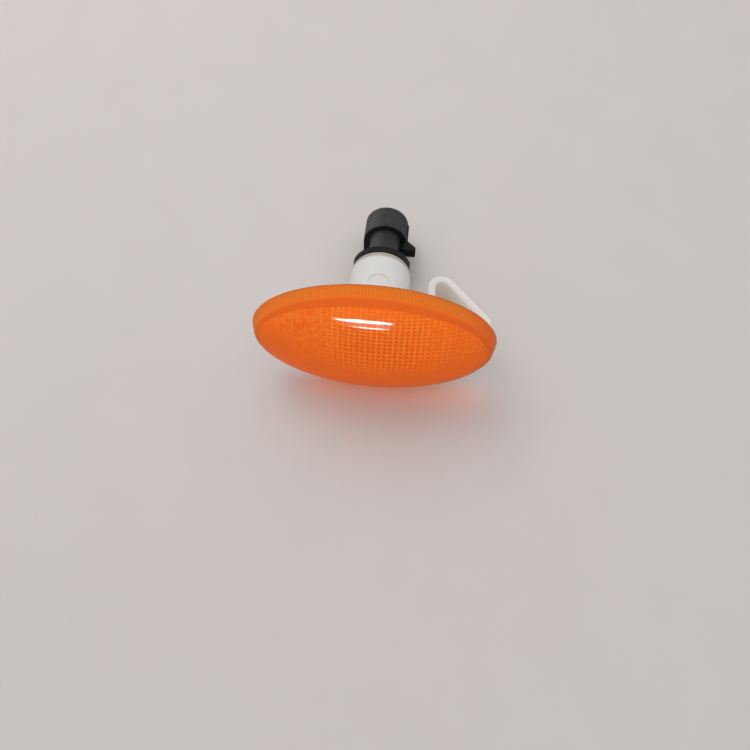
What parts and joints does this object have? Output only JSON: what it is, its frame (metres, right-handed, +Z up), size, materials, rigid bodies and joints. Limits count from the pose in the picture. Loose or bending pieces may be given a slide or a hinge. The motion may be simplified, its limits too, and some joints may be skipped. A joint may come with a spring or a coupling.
{
  "type": "side repeater lamp",
  "caption": "Oval amber side repeater lamp for a car wing: domed lens, white housing with spring clip and hook, and a black twist-lock bulb holder with connector shroud.",
  "frame": {"origin": "centre of the lens's back edge, which seats on the outside of the body panel", "axes": "+X along the lens towards the spring clip, +Y backwards through the panel to the connector, +Z up"},
  "size_m": [0.084, 0.0711, 0.0484],
  "materials": {
    "amber_lens": "clear amber acrylic, polished outside, fine optics inside",
    "white_plastic": "satin warm white moulding",
    "black_plastic": "fine-grained black moulding",
    "seal_rubber": "matt beige rubber",
    "bulb_glass": "clear",
    "tungsten": "dull grey coil",
    "lead_wire": "bright drawn wire",
    "terminal_metal": "bright stamped strip"
  },
  "bodies": {
    "lamp_body": {"lens": "amber_lens", "housing": "white_plastic"},
    "holder": {"bulb_holder": "black_plastic", "holder_seal": "seal_rubber", "bulb_glass": "bulb_glass", "bulb_filament": "tungsten", "bulb_lead_wires": "lead_wire", "terminal_upper": "terminal_metal", "terminal_lower": "terminal_metal"}
  },
  "joints": [
    {"name": "bulb_holder_twist", "type": "hinge", "parent": "lamp_body", "child": "holder", "pos_m": [0, 0.028, 0], "axis": [0, 1, 0], "range_deg": [0, 45]}
  ]
}
